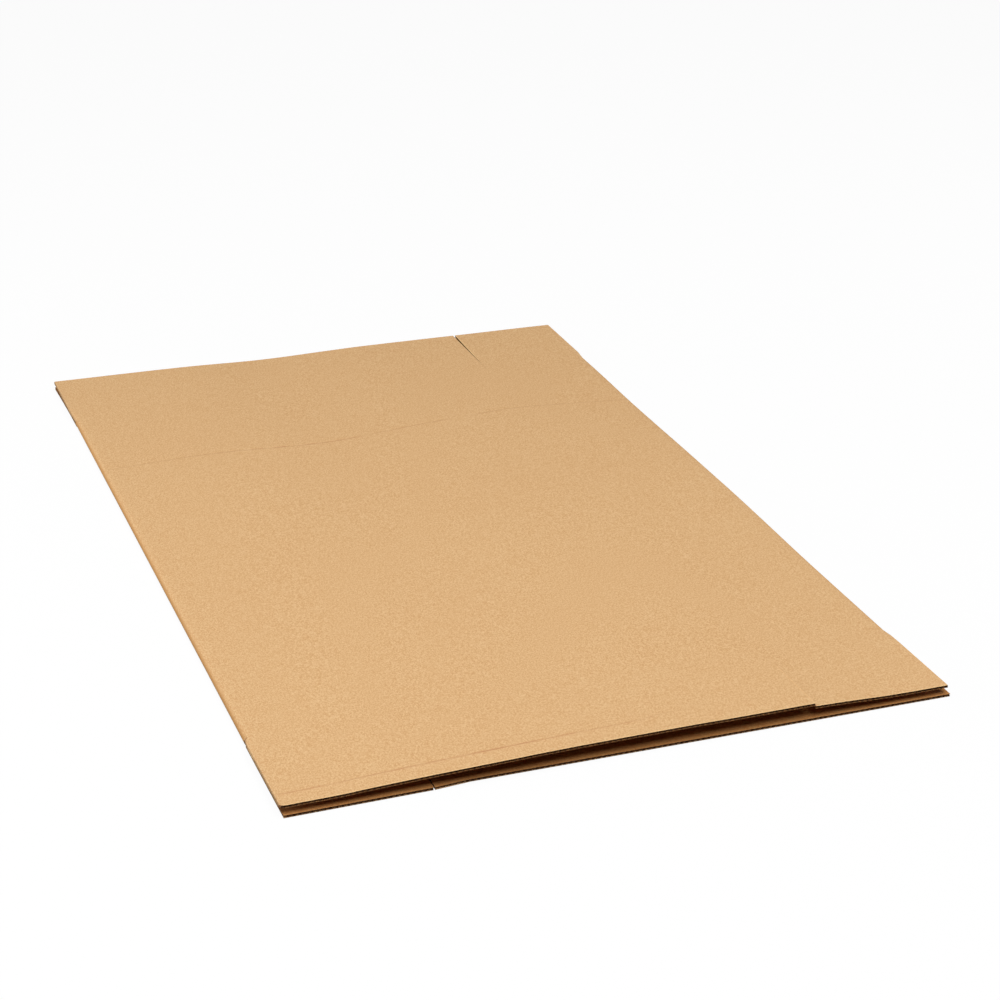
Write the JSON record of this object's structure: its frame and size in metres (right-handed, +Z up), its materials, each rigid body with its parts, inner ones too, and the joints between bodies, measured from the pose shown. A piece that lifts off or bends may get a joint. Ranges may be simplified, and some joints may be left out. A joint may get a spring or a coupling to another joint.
{
  "type": "flattened cardboard box",
  "caption": "Slotted corrugated carton folded flat: upper and lower layers joined by side folds, with slit flaps front and rear.",
  "frame": {"origin": "middle of the footprint, on the surface that the carton lies on", "axes": "+X across the flutes towards the fold beside the upper short panel, +Y from the front flaps to the rear flaps, +Z up through both layers"},
  "size_m": [0.956, 1.48, 0.0276],
  "materials": {
    "kraft_board": "matt brown kraft liner"
  },
  "bodies": {
    "root": {"folded_carton": "kraft_board"}
  },
  "joints": []
}
